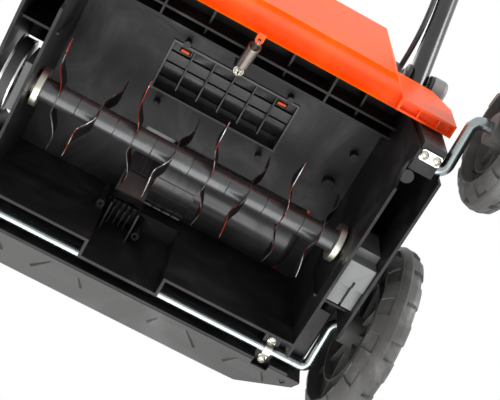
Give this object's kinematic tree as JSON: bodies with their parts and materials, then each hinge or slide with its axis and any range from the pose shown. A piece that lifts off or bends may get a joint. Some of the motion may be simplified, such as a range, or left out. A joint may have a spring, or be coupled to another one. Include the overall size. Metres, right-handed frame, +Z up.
{
  "type": "lawn scarifier",
  "caption": "Walk-behind battery lawn scarifier with a bladed rotor under an open deck, rear flap, wheels and a folding handle.",
  "frame": {"origin": "on the ground, under the middle of the machine's outline", "axes": "+Z up, +Y back to the operator, +X the operator's left when facing the machine's back"},
  "size_m": [0.522, 1.0198, 0.9769],
  "materials": {
    "deck_black": "semi-gloss moulded",
    "bumper_grey": "fine grain",
    "orange": "semi-gloss moulded",
    "black_plastic": "fine grain",
    "grey_plastic": "fine grain",
    "zinc": "zinc plated",
    "knife_steel": "stamped, satin",
    "sleeve_black": "gloss",
    "tube_black": "powder coat",
    "pulley": "machined",
    "motor_steel": "satin",
    "rubber": "matte",
    "wheel_black": "fine grain",
    "chrome": "polished",
    "spring_steel": "oiled"
  },
  "bodies": {
    "deck": {"deck_shell": "deck_black", "ribbed_pocket": "deck_black", "motor_cover": "deck_black", "bearing_housings": "grey_plastic", "bearings": "chrome", "drive_belt": "rubber", "motor_can": "motor_steel", "shaft_support": "grey_plastic", "front_bumper": "bumper_grey", "rear_axles": "zinc", "rear_axle_caps": "chrome", "front_saddles": "zinc", "rear_saddles": "zinc", "saddle_screws": "zinc", "lever_quadrant": "zinc", "flap_hinge_rod": "zinc", "flap_spring": "spring_steel", "spring_screw": "zinc", "hood": "orange", "hood_screws": "zinc", "battery_bay": "orange", "battery_pack": "black_plastic", "lid_pins": "zinc", "handle_brackets": "black_plastic", "pivot_bolts": "zinc", "pivot_covers": "grey_plastic", "lead_gland": "rubber"},
    "rotor": {"rotor_shaft": "zinc", "blades_outer_set": "knife_steel", "blades_inner_set": "knife_steel", "spacer_sleeves": "sleeve_black", "end_discs": "zinc", "rotor_pulley": "pulley"},
    "motor": {"motor_shaft": "zinc", "motor_pulley": "pulley", "motor_fan": "black_plastic"},
    "front_axle": {"front_axle": "zinc", "front_axle_caps": "chrome", "height_lever": "zinc", "lever_grip": "rubber"},
    "front_wheel_left": {"front_wheel_left": "wheel_black"},
    "front_wheel_right": {"front_wheel_right": "wheel_black"},
    "rear_wheel_left": {"rear_wheel_left": "wheel_black"},
    "rear_wheel_right": {"rear_wheel_right": "wheel_black"},
    "rear_flap": {"rear_flap": "orange"},
    "battery_lid": {"battery_lid": "orange"},
    "lower_handle": {"lower_handle": "tube_black", "fold_bolts": "zinc", "lower_lead_clips": "black_plastic", "lead_lower": "rubber"},
    "upper_handle": {"upper_handle": "tube_black", "handle_grip": "rubber", "switch_box": "black_plastic", "bail_bracket": "black_plastic", "upper_lead_clips": "black_plastic", "lead_upper": "rubber"},
    "fold_knob_left": {"fold_knob_left": "black_plastic"},
    "fold_knob_right": {"fold_knob_right": "black_plastic"},
    "bail_lever": {"bail_lever": "zinc"},
    "lock_button": {"lock_button": "orange"}
  },
  "joints": [
    {"name": "rotor_spin", "type": "hinge", "parent": "deck", "child": "rotor", "pos_m": [0, -0.30686, 0.10393], "axis": [1, 0, 0], "continuous": true},
    {"name": "motor_spin", "type": "hinge", "parent": "deck", "child": "motor", "pos_m": [0, -0.36386, 0.20793], "axis": [1, 0, 0], "continuous": true},
    {"name": "height_adjust", "type": "hinge", "parent": "deck", "child": "front_axle", "pos_m": [0, -0.44136, 0.09393], "axis": [1, 0, 0], "range_deg": [0, 75]},
    {"name": "front_wheel_left_spin", "type": "hinge", "parent": "front_axle", "child": "front_wheel_left", "pos_m": [0.237, -0.38392, 0.102], "axis": [1, 0, 0], "continuous": true},
    {"name": "front_wheel_right_spin", "type": "hinge", "parent": "front_axle", "child": "front_wheel_right", "pos_m": [-0.237, -0.38392, 0.102], "axis": [1, 0, 0], "continuous": true},
    {"name": "rear_wheel_left_spin", "type": "hinge", "parent": "deck", "child": "rear_wheel_left", "pos_m": [0.242, -0.12442, 0.075], "axis": [1, 0, 0], "continuous": true},
    {"name": "rear_wheel_right_spin", "type": "hinge", "parent": "deck", "child": "rear_wheel_right", "pos_m": [-0.242, -0.12442, 0.075], "axis": [1, 0, 0], "continuous": true},
    {"name": "flap_hinge", "type": "hinge", "parent": "deck", "child": "rear_flap", "pos_m": [0, -0.15286, 0.23593], "axis": [1, 0, 0], "range_deg": [0, 70], "stiffness_Nm_per_rad": 0.4, "springref_deg": -17.19, "deforming": ["flap_spring"]},
    {"name": "lid_hinge", "type": "hinge", "parent": "deck", "child": "battery_lid", "pos_m": [0, -0.17986, 0.27843], "axis": [1, 0, 0], "range_deg": [-100, 0]},
    {"name": "lower_fold", "type": "hinge", "parent": "deck", "child": "lower_handle", "pos_m": [0, -0.15086, 0.21693], "axis": [1, 0, 0], "range_deg": [0, 117], "deforming": ["lead_lower"]},
    {"name": "upper_fold", "type": "hinge", "parent": "lower_handle", "child": "upper_handle", "pos_m": [0, 0.17702, 0.58107], "axis": [1, 0, 0], "range_deg": [-160, 0], "deforming": ["lead_upper"]},
    {"name": "fold_knob_left_turn", "type": "hinge", "parent": "lower_handle", "child": "fold_knob_left", "pos_m": [0.212, 0.17702, 0.58107], "axis": [1, 0, 0], "continuous": true},
    {"name": "fold_knob_right_turn", "type": "hinge", "parent": "lower_handle", "child": "fold_knob_right", "pos_m": [-0.212, 0.17702, 0.58107], "axis": [1, 0, 0], "continuous": true},
    {"name": "bail_hinge", "type": "hinge", "parent": "upper_handle", "child": "bail_lever", "pos_m": [0, 0.41456, 0.84489], "axis": [1, 0, 0], "range_deg": [-15, 0], "stiffness_Nm_per_rad": 0.9, "springref_deg": 20.05},
    {"name": "lock_press", "type": "slide", "parent": "upper_handle", "child": "lock_button", "axis": [-1, 0, 0], "range_m": [0, 0.004], "stiffness_N_per_m": 300, "springref_m": -0.002}
  ],
  "couplings": [
    {"joint": "motor_spin", "follows": "rotor_spin", "ratio": 2.4286}
  ]
}
